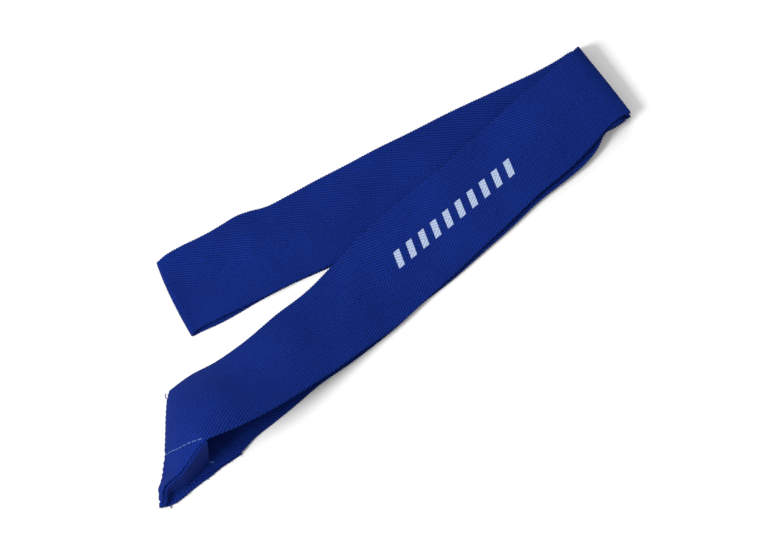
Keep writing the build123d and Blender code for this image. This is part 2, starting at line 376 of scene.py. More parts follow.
# ---- the legs ----
# Rungs of the tape, in the order the band runs: far selvage x, y, z, near selvage x, y, z, and
# the bow between them (positive towards the loop's outer face).
FRONT_UPPER = (
    (14.6, 16.3, 3.2, 11.0, -27.6, 30.2, 3.4),
    (29.8, 13.5, 2.7, 28.2, -30.6, 25.4, 3.0),
    (46.0, 11.9, 2.3, 46.8, -32.4, 20.0, 3.0),
    (70.4, 12.7, 2.2, 69.4, -33.9, 13.6, 2.4),
    (90.0, 12.0, 2.7, 91.6, -34.6, 8.6, 1.8),
    (114.0, 13.9, 4.9, 114.6, -35.5, 4.6, 0.8),
    (136.4, 16.6, 5.8, 136.4, -34.6, 3.1, 0.5),
    (151.6, 17.4, 5.9, 150.4, -33.8, 3.3, 0.3),
    (175.8, 17.6, 6.0, 175.6, -32.5, 4.2, 0.2),
    (197.4, 17.9, 6.2, 198.0, -31.3, 5.3, 0.2),
    (226.2, 19.2, 7.0, 227.0, -29.1, 6.7, 0.4),
    (247.8, 19.7, 8.6, 248.4, -28.8, 8.1, 0.6),
    (261.6, 19.9, 10.0, 259.5, -28.2, 9.0, 0.8),
    (275.4, 20.0, 11.6, 271.8, -26.7, 9.9, 1.0),
    (285.6, 20.0, 13.0, 281.2, -25.0, 10.6, 0.8),
)
OUTER_FOLD = (
    (294.0, 20.3, 13.8, 291.6, -25.6, 10.9, 0.3),
    (296.6, 20.7, 12.2, 295.1, -26.5, 9.3, 0.3),
    (297.8, 21.3, 7.4, 292.8, -25.7, 5.9, 0.5),
    (297.2, 22.1, 2.6, 295.1, -27.1, 2.2, 0.4),
    (294.4, 22.4, 0.9, 291.2, -26.0, 0.8, 0.1),
)
BACK_LOWER = (
    (280.0, 24.6, 0.6, 276.6, -22.2, 0.6, 0.0),
    (251.0, 31.3, 0.5, 246.0, -16.4, 0.5, 0.0),
    (208.2, 41.6, 0.5, 200.6, -5.6, 0.5, 0.0),
    (164.6, 51.3, 0.5, 155.6, 4.8, 0.5, 0.0),
    (120.4, 60.1, 0.5, 113.0, 14.4, 0.5, 0.0),
    (99.8, 66.2, 0.5, 90.6, 20.6, 0.5, 0.0),
    (85.8, 70.1, 0.5, 73.6, 24.2, 0.5, 0.0),
    (56.2, 75.9, 0.5, 43.6, 29.6, 0.5, 0.0),
)
END_TURN = (
    (44.9, 77.4, 0.6, 33.0, 32.3, 0.6, 0.0),
    (42.2, 77.7, 0.9, 30.4, 32.8, 0.9, 0.9),
    (41.2, 77.8, 1.9, 29.6, 33.0, 1.7, 1.3),
    (42.2, 77.7, 2.9, 30.4, 33.3, 2.7, 1.2),
    (45.2, 77.8, 3.3, 33.1, 33.5, 3.2, 0.8),
)
BACK_UPPER = (
    (56.4, 76.4, 3.0, 44.9, 31.4, 3.9, 0.5),
    (70.9, 73.2, 2.7, 58.9, 27.8, 3.5, 0.4),
    (82.0, 71.3, 2.8, 71.4, 24.8, 2.9, 0.7),
    (92.6, 69.3, 3.6, 84.0, 22.1, 2.7, 1.5),
    (99.8, 66.7, 3.0, 92.4, 20.2, 2.4, 0.7),
    (106.6, 63.8, 2.2, 100.4, 18.2, 2.1, 0.0),
    (120.7, 60.7, 1.9, 113.6, 14.9, 1.8, 0.1),
    (143.0, 56.4, 1.8, 135.0, 9.8, 1.7, 0.1),
    (165.1, 51.9, 1.8, 156.4, 5.0, 1.7, 0.1),
    (186.9, 47.1, 1.8, 178.6, -0.2, 1.7, 0.1),
    (208.7, 42.1, 1.8, 201.0, -5.4, 1.7, 0.1),
    (230.4, 37.2, 1.8, 223.6, -10.8, 1.7, 0.1),
    (251.6, 31.6, 2.0, 246.4, -16.2, 1.8, 0.1),
    (273.0, 26.2, 2.8, 269.6, -22.0, 2.1, 0.2),
)
INNER_FOLD = (
    (287.4, 23.4, 3.8, 285.4, -26.4, 2.9, 0.2),
    (291.6, 22.6, 5.2, 289.8, -27.0, 4.2, 0.0),
    (292.8, 21.6, 7.6, 291.0, -27.2, 6.2, 0.0),
    (291.2, 20.4, 10.0, 289.6, -27.2, 7.8, 0.0),
    (286.6, 19.6, 10.9, 285.2, -26.6, 8.3, 0.2),
)
FRONT_LOWER = (
    (278.0, 19.4, 10.2, 277.6, -26.1, 7.6, 0.3),
    (268.0, 19.3, 9.0, 268.6, -29.9, 5.3, 0.2),
    (257.6, 19.2, 7.8, 258.6, -31.7, 4.1, 0.1),
    (244.0, 19.0, 6.6, 244.6, -32.0, 3.3, 0.0),
    (225.8, 18.5, 5.4, 225.8, -31.7, 2.7, 0.0),
    (197.0, 17.3, 4.6, 198.0, -33.2, 2.2, 0.0),
    (175.8, 17.0, 4.4, 175.6, -34.0, 1.7, 0.0),
    (151.6, 16.8, 4.3, 152.0, -34.5, 1.1, 0.0),
    (136.4, 16.1, 4.1, 136.4, -34.1, 0.8, 0.0),
    (114.0, 13.0, 3.0, 115.6, -35.3, 0.6, -0.2),
    (90.0, 11.0, 1.1, 92.0, -34.8, 0.5, -1.4),
    (70.4, 11.9, 0.8, 70.4, -33.2, 0.5, -2.6),
    (46.0, 11.5, 0.9, 47.6, -33.4, 0.5, -3.2),
    (29.8, 13.3, 1.3, 32.4, -33.4, 0.6, -2.6),
    (17.6, 15.6, 1.9, 20.6, -33.4, 1.0, -1.4),
)


@dataclass
class TapeLoop:
    """The whole woven tape from one cut end to the other, as one closed thin surface.

    The middle surface is a grid: rows along the tape, columns from the far to the near selvage.
    Rows of the legs are smooth curves through the rungs; rows of the two ends lie on the lap.

    Attributes:
        lap: the corner lap that both ends share.
        flap: plan reach of the inner end that hangs out past the lap, at its longer corner.
        slant: how far that corner swings towards the tip as it hangs.
        flap_rest: height where the hanging end comes to rest.
        flap_least: reach of the hanging end at its shorter corner.
        flap_rows: rows of the mesh along the hanging end.
        hem: share of the width, at the tip's side, where the hanging end is held up.
        columns: columns across one face, without those of the rim.
        bend_reach: how far the lap's bent section runs on into the upper and the lower ply.
        lean_reach: how far the lap's slanted rows run on into the legs.
        ease_rows: rows on each side that the running mean at a junction takes in.
        ease_blur: width of that mean.
        ease_reach: how far from a junction it works.
        ease_across: shares of the width between which it sets in.
        middle: points of the middle surface, shape (rows, columns, 3).
        normal: its unit normals on the outer face.
        length: place of each point along the tape.
        shares: place of each column from the far to the near selvage, 0 to 1.
        leg_rows: first and last row of the legs.
    """

    lap: CornerLap
    flap: float = 4.5
    slant: float = 3.0
    flap_rest: float = 3.8
    flap_least: float = 0.6
    flap_rows: int = 43
    hem: float = 0.12
    columns: int = 21
    bend_reach: Span = (22.0, 10.0)
    lean_reach: float = 18.0
    ease_rows: int = 9
    ease_blur: float = 2.2
    ease_reach: float = 5.0
    ease_across: Span = (0.08, 0.3)
    middle: Array = field(init=False, repr=False)
    normal: Array = field(init=False, repr=False)
    length: Array = field(init=False, repr=False)
    shares: Array = field(init=False, repr=False)
    leg_rows: tuple[int, int] = field(init=False)

    def __post_init__(self) -> None:
        """Compute the middle surface, its outer normals and its tape coordinates."""
        rim = np.array(RIM_SHARES)
        inner = np.linspace(FACE_MARGIN, 1.0 - FACE_MARGIN, self.columns)
        self.shares = np.concatenate([rim, inner, 1.0 - rim[::-1]])
        outer, outer_length = self._outer_end()
        inner_end, inner_length = self._inner_end()
        legs, leg_length = self._legs(outer[-1], inner_end[0])
        start = outer_length[-1, 0]
        stop = start + leg_length[-1, 0]
        self.middle = np.concatenate([outer[:-1], legs, inner_end[1:]])
        self.length = np.concatenate([outer_length[:-1], leg_length + start,
                                      inner_length[1:] + stop])
        self.leg_rows = (len(outer) - 1, len(outer) - 1 + len(legs) - 1)
        self._ease_junctions()
        self._ripple()
        self.normal = self._normals()

    def _outer_end(self) -> tuple[Array, Array]:
        """Return rows and tape lengths of the outer end, from its cut to the front leg."""
        count = int(self.lap.side / ROW_PITCH) + 1
        square = np.linspace(1.0, 0.0, count)[:, None]
        b = self.shares[None, :]
        place, past = np.array(self.lap.trim).T
        a = square + np.interp(b, place, past) / self.lap.side * square ** self.lap.trim_power
        points = self.lap.surface(a, b, 0.0)
        length = (1.0 - a) * self.lap.side - self.lap.skew * b
        return points, length

    def _inner_end(self) -> tuple[Array, Array]:
        """Return rows and tape lengths of the inner end, from the front leg to its cut.

        Past the edge of the lap the end hangs on as a flap that closes the mouth like a curtain:
        its drop follows half a cosine, steep in the middle and flat where it comes to rest.
        """
        count = int(self.lap.side / ROW_PITCH) + 1
        b = np.linspace(0.0, 1.0, count)[:, None]
        a = self.shares[None, :]
        points = self.lap.surface(a, b, LAYER)
        length = b * self.lap.side + self.lap.skew * a
        edge = points[-1]
        ahead = unit((points[-1] - points[-4]) * np.array([1.0, 1.0, 0.0]))
        far_side = self.shares[:, None]
        reach = self.flap * (1.0 - far_side ** 2) + self.flap_least
        drop = np.maximum(edge[:, 2:3] - self.flap_rest, 0.0)
        drop *= smooth(1.0 - far_side, 0.0, self.hem)
        turn = np.linspace(0.0, 1.0, self.flap_rows + 1)[1:, None]
        forward = reach[:, 0] * turn
        down = drop[:, 0] * (1.0 - np.cos(np.pi * turn)) / 2.0
        flap = edge + ahead * forward[..., None]
        flap[..., 0] -= self.slant * turn * (1.0 - far_side[:, 0]) ** 2
        flap[..., 2] -= down
        whole = np.concatenate([edge[None], flap])
        travel = np.cumsum(np.linalg.norm(np.diff(whole, axis=0), axis=-1), axis=0)
        flap_length = length[-1] + travel
        return np.concatenate([points, flap]), np.concatenate([length, flap_length])

    def _legs(self, first: Array, last: Array) -> tuple[Array, Array]:
        """Return rows and tape lengths of both legs, between two rows of the lap.

        A row is the straight line between its selvages plus a parabola of the bow; near the lap
        the bent section of the lap's own row is added, fading as a bell curve.

        Args:
            first: the row where the front leg leaves the outer end.
            last: the row where the front leg's lower ply meets the inner end.

        Returns:
            Points, shape (rows, columns, 3), and tape lengths, shape (rows, columns).
        """
        start = [*first[0], *first[-1], 0.0]
        stop = [*last[0], *last[-1], 0.0]
        rungs = np.array([start, *FRONT_UPPER, *OUTER_FOLD, *BACK_LOWER, *END_TURN,
                          *BACK_UPPER, *INNER_FOLD, *FRONT_LOWER, stop])
        centre = (rungs[:, 0:3] + rungs[:, 3:6]) / 2
        knots = np.concatenate([[0.0], np.cumsum(np.linalg.norm(np.diff(centre, axis=0), axis=1))])
        rows = int(knots[-1] / ROW_PITCH)
        at = np.linspace(0.0, knots[-1], rows + 1)
        dense = hermite(knots, rungs, at)
        far, near, bow = dense[:, None, 0:3], dense[:, None, 3:6], dense[:, None, 6:7]
        share = self.shares[None, :, None]
        heading = unit(np.gradient((far + near)[:, 0], axis=0))[:, None]
        across = near - far
        outward = unit(np.cross(across, heading))
        points = far + across * share + outward * bow * 4.0 * share * (1.0 - share)
        shape_first = first - (first[:1] + (first[-1:] - first[:1]) * share[0])
        shape_last = last - (last[:1] + (last[-1:] - last[:1]) * share[0])
        points += shape_first[None] * fade(at, self.bend_reach[0])[:, None, None]
        points += shape_last[None] * fade(knots[-1] - at, self.bend_reach[1])[:, None, None]
        lean = np.sum(across * heading, axis=-1)[:, 0]
        near_lap = fade(at, self.lean_reach)
        near_end = fade(knots[-1] - at, self.lean_reach)
        lean = lean * (1.0 - near_lap) * (1.0 - near_end)
        lean += -self.lap.skew * near_lap + self.lap.skew * near_end
        length = at[:, None] + lean[:, None] * self.shares[None, :]
        return points, length

    def _ease_junctions(self) -> None:
        """Round the ridge where each leg meets the lap: a short running mean along the tape."""
        reach = self.ease_rows
        kernel = fade(np.arange(-reach, reach + 1) * ROW_PITCH, self.ease_blur)
        kernel /= kernel.sum()
        padded = np.pad(self.middle, ((reach, reach), (0, 0), (0, 0)), mode="edge")
        mean = sum(k * padded[i:i + len(self.middle)] for i, k in enumerate(kernel))
        row = np.arange(len(self.middle))[:, None]
        near = sum(fade((row - junction) * ROW_PITCH, self.ease_reach)
                   for junction in self.leg_rows)
        weight = near * smooth(self.shares, *self.ease_across)[None, :]
        self.middle += (mean - self.middle) * weight[..., None]

    def _ripple(self) -> None:
        """Add the slight unevenness of worn cloth, as sums of long sine waves."""
        s = np.arange(len(self.middle))[:, None] * ROW_PITCH
        v = self.shares[None, :]
        lift = sum(height * np.prod([np.sin(s / length + turn * v + phase)
                                     for length, turn, phase in waves], axis=0)
                   for height, waves in RIPPLES)
        self.middle += self._normals() * lift[..., None]
        across = unit(self.middle[:, -1:] - self.middle[:, :1])
        sway = sum(amount * np.sin(s / length + phase) for amount, length, phase in SWAYS)
        bump = SELVAGE_BUMP * np.cos(2.0 * np.pi * s / SELVAGE_PITCH)
        far, near = v <= RIM_SHARES[1], v >= 1.0 - RIM_SHARES[1]
        rim = near.astype(float) - far.astype(float)
        self.middle += across * (sway * (v - 0.5) + bump * rim)[..., None]
        self.middle[..., 2] = np.maximum(self.middle[..., 2], TAPE_THICKNESS / 2 + FLOOR_GAP)

    def _normals(self) -> Array:
        """Return the unit normals of the middle surface on the loop's outer face."""
        along = np.gradient(self.middle, axis=0)
        across = np.gradient(self.middle, axis=1)
        return unit(np.cross(across, along))

    def _sample(self, values: Array, row: Array, share: Array) -> Array:
        """Return values of the grid between its points: linear in the row and in the column.

        Args:
            values: one row of numbers for each point of the grid.
            row: row positions, with fractions.
            share: places from the far to the near selvage, 0 to 1.

        Returns:
            The values, with the shape of row and share and a last axis of numbers.
        """
        row, share = np.broadcast_arrays(np.asarray(row, float), np.asarray(share, float))
        column = np.interp(share, self.shares, np.arange(len(self.shares)))
        i = np.clip(row.astype(int), 0, len(self.middle) - 2)
        j = np.clip(column.astype(int), 0, len(self.shares) - 2)
        s, t = (row - i)[..., None], (column - j)[..., None]
        low = values[i, j] * (1 - t) + values[i, j + 1] * t
        high = values[i + 1, j] * (1 - t) + values[i + 1, j + 1] * t
        return low * (1 - s) + high * s

    def at(self, row: Array, share: Array, lift: float) -> Array:
        """Return points on or above a face of the tape.

        Args:
            row: row positions in the grid, with fractions.
            share: places from the far to the near selvage, 0 to 1.
            lift: height above the middle surface, negative for the inner face.

        Returns:
            Points in the loop's frame.
        """
        normal = unit(self._sample(self.normal, row, share))
        return self._sample(self.middle, row, share) + normal * lift

    def tape_uv(self, row: Array, share: Array) -> Array:
        """Return tape coordinates in metres: length along the tape, place off its middle."""
        along = self._sample(self.length[..., None], row, share)[..., 0]
        return np.stack([along, (share - 0.5) * TAPE_WIDTH], axis=-1) * MM

    def build(self) -> Object:
        """Return the tape's mesh: two faces off the middle surface, in a rim of half an ellipse."""
        v = self.shares
        edge = np.clip(np.minimum(v, 1 - v) / FACE_MARGIN, 0.0, 1.0)
        half = TAPE_THICKNESS / 2 * np.sqrt(1.0 - (1.0 - edge) ** 2)
        lift = self.normal * half[None, :, None]
        top = self.middle + lift
        bottom = (self.middle - lift)[:, 1:-1][:, ::-1]
        ring = np.concatenate([top, bottom], axis=1)
        rows, around = ring.shape[:2]
        count = len(v)
        along = np.concatenate([self.length, self.length[:, 1:-1][:, ::-1]], axis=1)
        place = np.concatenate([v, v[1:-1][::-1]])
        uv = np.stack([along, np.broadcast_to((place - 0.5) * TAPE_WIDTH, along.shape)], axis=-1)
        faces = grid_faces(rows, around, True)
        # Each cut end is closed by quads between the upper and the lower columns, all but the
        # narrow triangle at each selvage.
        upper = np.arange(count)
        lower = np.concatenate([[0], around - np.arange(1, count - 1), [count - 1]])
        cap = np.stack([upper[:-1], upper[1:], lower[1:], lower[:-1]], axis=-1)
        end = cap[:, ::-1] + (rows - 1) * around
        inside = slice(1, -1)
        faces = np.concatenate([faces, cap[inside], end[inside]])
        return mesh_object("tape", ring.reshape(-1, 3), faces, uv.reshape(-1, 2) * MM)

    def dress(self, obj: Object, material: Material,
              with_pieces: list[Object]) -> None:
        """Args:
            obj: the tape.
            material: its cloth.
            with_pieces: the thread, yarn and ink that lie on it; not used.
        """
        obj.data.materials.append(material)
        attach(obj, "root")
        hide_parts("woven_tape")


# ---- materials ----
def add_node(tree: Tree, kind: str, inputs: dict | None = None,
             **settings: object) -> Node:
    """Return a new shader node.

    Args:
        tree: node tree to add to.
        kind: node type, after ShaderNode.
        inputs: for its inputs, by name or index: values, output sockets, or nodes whose first
            output is meant.
        settings: node properties.

    Returns:
        The node, with its inputs set or linked.
    """
    node = tree.nodes.new("ShaderNode" + kind)
    for key, value in settings.items():
        setattr(node, key, value)
    for key, value in (inputs or {}).items():
        if isinstance(value, Node):
            value = value.outputs[0]
        if isinstance(value, bpy.types.NodeSocket):
            tree.links.new(value, node.inputs[key])
        else:
            node.inputs[key].default_value = value
    return node


def new_material(name: str) -> tuple[Material, Tree, Node]:
    """Return a new material of that name, its node tree and its shader."""
    material = bpy.data.materials.new(name)
    material.use_nodes = True
    return material, material.node_tree, material.node_tree.nodes["Principled BSDF"]


def weave(tree: Tree) -> Node:
    """Return the node of the herringbone's height, 0 in a groove and 1 on a wale.

    The twill lines are the sine of (|place off the middle| * cos A + length * sin A) over their
    pitch, so they meet on the tape's middle line; the sine of the length over the pick pitch
    breaks them into short floats.

    Args:
        tree: node tree to add to.
    """
    slope = np.radians(WALE_ANGLE)
    wales, picks = 2 * np.pi / (WALE_PITCH * MM), 2 * np.pi / (PICK_PITCH * MM)
    split = add_node(tree, "SeparateXYZ", {0: add_node(tree, "UVMap", uv_map="tape")})
    along, place = split.outputs[0], split.outputs[1]
    off = add_node(tree, "Math", {0: place}, operation="ABSOLUTE")
    rise = add_node(tree, "Math", {0: along, 1: float(np.sin(slope)) * wales},
                    operation="MULTIPLY")
    phase = add_node(tree, "Math", {0: off, 1: float(np.cos(slope)) * wales, 2: rise},
                     operation="MULTIPLY_ADD")
    wale = add_node(tree, "Math", {0: phase}, operation="SINE")
    beat = add_node(tree, "Math", {0: along, 1: picks}, operation="MULTIPLY")
    pick = add_node(tree, "Math", {0: beat}, operation="SINE")
    height = add_node(tree, "Math", {0: wale, 1: WALE_SHARE, 2: 0.5}, operation="MULTIPLY_ADD")
    return add_node(tree, "Math", {0: pick, 1: PICK_SHARE, 2: height}, operation="MULTIPLY_ADD")


@dataclass(frozen=True)
class ClothFinish:
    """Dyed cotton herringbone.

    Attributes:
        light: colour on top of the yarns, the cloth's own blue together with painted light on the
            wales.
        groove_shade: colour between them, painted shade in the grooves between the yarns.
        nap: tint of the fine hairs.
        relief: depth of the weave.
        slub: size of the thick and thin places of a yarn.
        patch: size of the areas where the painted groove shade is stronger or weaker, so the wales
            show more or less.
        cloud: size of the areas that took the dye more or less.
    """

    name: str = "dyed_cotton_herringbone"
    # the two blues: the cloth's own blue with painted light on the wales, and painted shade in the
    # grooves between the yarns
    light: str = "#0d2571"
    groove_shade: str = "#02092d"
    nap: str = "#5a7ad8"
    relief: float = 0.32
    slub: float = 1.111
    patch: float = 9.09
    cloud: float = 35.7

    def build(self) -> Material:
        """Return the cloth: its tone is wale height * patch + slub + cloud, between two blues; the
        wale height part is painted shade in the grooves and painted light on the wales.
        """
        # Finish: matt dyed cotton, soft yarn relief, a faint nap that catches grazing light.
        material, tree, shader = new_material(self.name)
        height = weave(tree)
        spot = add_node(tree, "TexCoord").outputs["Object"]
        slub = add_node(tree, "TexNoise", {"Vector": spot, "Scale": 1.0 / (self.slub * MM),
                                           "Detail": 2.0})
        cloud = add_node(tree, "TexNoise", {"Vector": spot, "Scale": 1.0 / (self.cloud * MM),
                                            "Detail": 2.0})
        patch = add_node(tree, "TexNoise", {"Vector": spot, "Scale": 1.0 / (self.patch * MM),
                                            "Detail": 1.0})
        # painted shade in the grooves and painted light on the wales: the weave height, centred and
        # scaled by the patch noise, moves the colour between the two blues
        level = add_node(tree, "Math", {0: height, 1: 0.5}, operation="SUBTRACT")
        groove_shade_strength = add_node(tree, "Math", {0: patch, 1: 0.1}, operation="ADD")
        # the cloud and the slub add tone that differs at random in the dye and the yarn
        shade = add_node(tree, "Math", {0: cloud, 1: 0.4}, operation="MULTIPLY")
        shade = add_node(tree, "Math", {0: slub, 1: 0.6, 2: shade}, operation="MULTIPLY_ADD")
        tone = add_node(tree, "Math", {0: level, 1: groove_shade_strength, 2: shade},
                        operation="MULTIPLY_ADD")
        # the mix paints shade into the grooves with the darker blue and light onto the wales with
        # the lighter one
        colour = add_node(tree, "Mix", {0: tone, 6: hex_to_linear(self.groove_shade),
                                        7: hex_to_linear(self.light)},
                          data_type="RGBA", clamp_factor=True).outputs[2]
        tree.links.new(colour, shader.inputs["Base Color"])
        shader.inputs["Roughness"].default_value = 0.88
        shader.inputs["Specular IOR Level"].default_value = 0.04
        shader.inputs["Sheen Weight"].default_value = 0.03
        shader.inputs["Sheen Roughness"].default_value = 0.5
        shader.inputs["Sheen Tint"].default_value = hex_to_linear(self.nap)
        relief = add_node(tree, "Math", {0: slub, 1: 0.5, 2: height}, operation="MULTIPLY_ADD")
        bump = add_node(tree, "Bump", {"Strength": 0.8, "Distance": self.relief * MM,
                                       "Height": relief}).outputs[0]
        tree.links.new(bump, shader.inputs["Normal"])
        return material


@dataclass(frozen=True)
class ThreadFinish:
    """Spun thread or yarn.

    Attributes:
        shadow: brightness between the twists, as a share of the colour.
        twist: length of a light or dark patch along it.
    """

    name: str
    colour: str
    roughness: float
    shadow: float = 0.7
    twist: float = 0.667

    def build(self) -> Material:
        """Return the material, with a slight change of tone along the thread."""
        # Finish: spun fibre, soft low gloss, tone a little uneven from the twist.
        material, tree, shader = new_material(self.name)
        spot = add_node(tree, "TexCoord").outputs["Object"]
        twist = add_node(tree, "TexNoise", {"Vector": spot, "Scale": 1.0 / (self.twist * MM)})
        light = hex_to_linear(self.colour)
        dark = (*(self.shadow * channel for channel in light[:3]), 1.0)
        colour = add_node(tree, "Mix", {0: twist, 6: dark, 7: light}, data_type="RGBA").outputs[2]
        tree.links.new(colour, shader.inputs["Base Color"])
        shader.inputs["Roughness"].default_value = self.roughness
        shader.inputs["Specular IOR Level"].default_value = 0.3
        return material


@dataclass(frozen=True)
class InkFinish:
    """Screen-print ink on cloth: pale on the wales, thinner in the grooves.

    Attributes:
        colour: the ink on the wales.
        groove: the ink in the grooves.
        relief: depth of the weave that still shows.
    """

    name: str = "pale_textile_ink"
    colour: str = "#929cad"
    groove: str = "#5c6f93"
    relief: float = 0.06

    def build(self) -> Material:
        """Return the ink material, which keeps the weave's relief."""
        # Finish: matt textile ink that lets the twill lines show through.
        material, tree, shader = new_material(self.name)
        height = weave(tree)
        colour = add_node(tree, "Mix", {0: height, 6: hex_to_linear(self.groove),
                                        7: hex_to_linear(self.colour)},
                          data_type="RGBA", clamp_factor=True).outputs[2]
        tree.links.new(colour, shader.inputs["Base Color"])
        shader.inputs["Roughness"].default_value = 0.7
        bump = add_node(tree, "Bump", {"Strength": 0.6, "Distance": self.relief * MM,
                                       "Height": height}).outputs[0]
        tree.links.new(bump, shader.inputs["Normal"])
        return material


# ---- sewing ----
class Trim:
    """A small piece that lies on the tape; all of them are dressed in the same way."""

    slot: ClassVar[Slot]

    def dress(self, obj: Object, material: Material,
              node: str | None = None) -> Object:
        """Give a piece its material and tie it to the CAD body.

        Args:
            obj: the piece.
            material: its finish.
            node: the CAD node that it stands for, if it stands for one.

        Returns:
            The same piece.
        """
        obj.data.materials.append(material)
        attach(obj, "root")
        if node:
            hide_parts(node)
        LOG.info("%s: %d faces", obj.name, len(obj.data.polygons))
        return obj


@dataclass(frozen=True)
class StitchRow(Trim):
    """One row of lockstitches through both layers of the lap.

    Attributes:
        name: name of the CAD nodes after needle_thread_ and bobbin_thread_.
        runs: straight runs, each from one pair of shares (a, b) to another.
        sink: how far down in the cloth the thread lies.
        pitch: length of one stitch.
        gap: cloth showing between two stitches.
        radius: half the thread's diameter.
        rings: rings of the mesh along one stitch.
        end: radius where the thread dips in, as a share.
    """

    slot: ClassVar[Slot] = Slot.THREAD
    name: str
    runs: tuple[tuple[Span, Span], ...]
    sink: float = 0.08
    pitch: float = 3.0
    gap: float = 0.7
    radius: float = 0.2
    rings: int = 7
    end: float = 0.55

    def build(self, loop: TapeLoop, side: Side) -> Object:
        """Return the stitches of the needle side or the bobbin side as one mesh.

        Each stitch is a small bowed bar: a tube whose height follows the root of half a sine,
        so its middle rises off the cloth and its ends dip into it.

        Args:
            loop: the tape the row is sewn through.
            side: the outer layer's face or the inner layer's.

        Returns:
            The stitches, one open tube each.
        """
        bow = np.sqrt(np.sin(np.linspace(0, np.pi, self.rings)))
        margin = self.gap / 2 / self.pitch
        t = np.linspace(margin, 1 - margin, self.rings)
        height = TAPE_THICKNESS / 2 - self.sink - self.radius + bow * (2 * self.radius)
        paths = []
        for first, last in np.array(self.runs):
            span = np.linalg.norm((last - first) * loop.lap.side)
            count = max(1, int(span / self.pitch))
            share = (np.arange(count)[:, None] + t) / count
            a, b = np.moveaxis(first + (last - first) * share[..., None], -1, 0)
            if side is Side.NEEDLE:
                row, across, out = (1.0 - a) * loop.leg_rows[0], b, 1.0
            else:
                row, across, out = loop.leg_rows[1] + b * loop.leg_rows[0], a, -1.0
            base = loop.at(row, across, 0.0)
            paths.append(base + (loop.at(row, across, out) - base) * height[:, None])
        radius = self.radius * (self.end + (1.0 - self.end) * bow)
        return mesh_object(f"{side.value}_thread_{self.name}",
                           *tubes(np.concatenate(paths), radius, THREAD_SIDES))


@dataclass(frozen=True)
class LooseThread(Trim):
    """A ravelled yarn end at the rolled edge of the lap.

    Attributes:
        name: name of the CAD node after loose_thread_.
        root: shares (a, b) of the lap where it leaves the cloth.
        bends: further points, from there.
        radius: half the yarn's diameter.
        depth: how far down in the cloth it starts.
        rings: rings of the mesh for each bend.
        taper: where the yarn starts to thin out, and how much it thins by, as shares.
    """

    slot: ClassVar[Slot] = Slot.YARN
    name: str
    root: Span
    bends: tuple[Point, ...]
    radius: float = 0.3
    depth: float = 0.15
    rings: int = 6
    taper: Span = (0.6, 0.6)

    def build(self, loop: TapeLoop) -> Object:
        """Return the yarn as a tapering tube along a smooth curve through its bends."""
        row = (1.0 - self.root[0]) * loop.leg_rows[0]
        root = loop.at(row, self.root[1], TAPE_THICKNESS / 2 - self.depth)
        knots = np.array([root] + [root + np.array(bend) for bend in self.bends])
        path = hermite(np.arange(len(knots), dtype=float), knots,
                       np.linspace(0, len(knots) - 1, self.rings * len(knots)))
        first, loss = self.taper
        taper = 1.0 - loss * smooth(np.linspace(0, 1, len(path)), first, 1.0)
        return mesh_object(f"loose_thread_{self.name}",
                           *tubes(path[None], self.radius * taper, YARN_SIDES))


@dataclass(frozen=True)
class FrayedEnd(Trim):
    """Short ravelled warp yarns that stand out of both cut ends of the tape.

    Attributes:
        count: yarns at each end.
        shortest: shortest free length.
        longest: longest free length.
        radius: half the yarn's diameter.
        root: length of it inside the cloth, for each unit of the path.
        taper: radius at each ring, as a share.
        jitter: least and most place of a yarn in its own share of the width.
        margin: share of the width without yarns at each selvage.
        bend: how far the tips stray along x, y and z, for each unit of free length.
        seed: seed of the places, lengths and directions.
    """

    slot: ClassVar[Slot] = Slot.YARN
    count: int = 20
    shortest: float = 0.3
    longest: float = 1.1
    radius: float = 0.16
    root: float = 0.8
    taper: tuple[float, ...] = (1.0, 1.0, 1.0, 0.85, 0.4)
    jitter: Span = (0.2, 0.8)
    margin: float = 0.01
    bend: Point = (0.5, 0.5, 0.25)
    seed: int = 11

    def build(self, loop: TapeLoop) -> Object:
        """Return all yarns as one mesh: each a tapered tube whose tip strays by a square law."""
        draw = np.random.default_rng(self.seed)
        last = len(loop.middle) - 1.0
        paths = []
        for row, inward in ((0.0, 1.0), (last, -1.0)):
            share = (np.arange(self.count) + draw.uniform(*self.jitter, self.count)) / self.count
            share = self.margin + (1.0 - 2.0 * self.margin) * share
            root = loop.at(row + inward, share, 0.0)
            edge = loop.at(np.full(self.count, row) + 0.001 * inward, share, 0.0)
            ahead = unit(edge - root)
            free = self.shortest + (self.longest - self.shortest) * draw.random(self.count) ** 2
            bend = draw.uniform(-1.0, 1.0, (self.count, 3)) * np.array(self.bend)
            t = np.linspace(-0.6, 1.0, len(self.taper))[None, :, None]
            reach = np.where(t > 0, t * free[:, None, None], t * self.root)
            path = edge[:, None] + ahead[:, None] * reach
            path += bend[:, None] * free[:, None, None] * np.clip(t, 0.0, None) ** 2
            path[..., 2] = np.maximum(path[..., 2], self.radius)
            paths.append(path)
        radius = self.radius * np.array(self.taper)
        return mesh_object("frayed_ends", *tubes(np.concatenate(paths), radius, FRAY_SIDES))


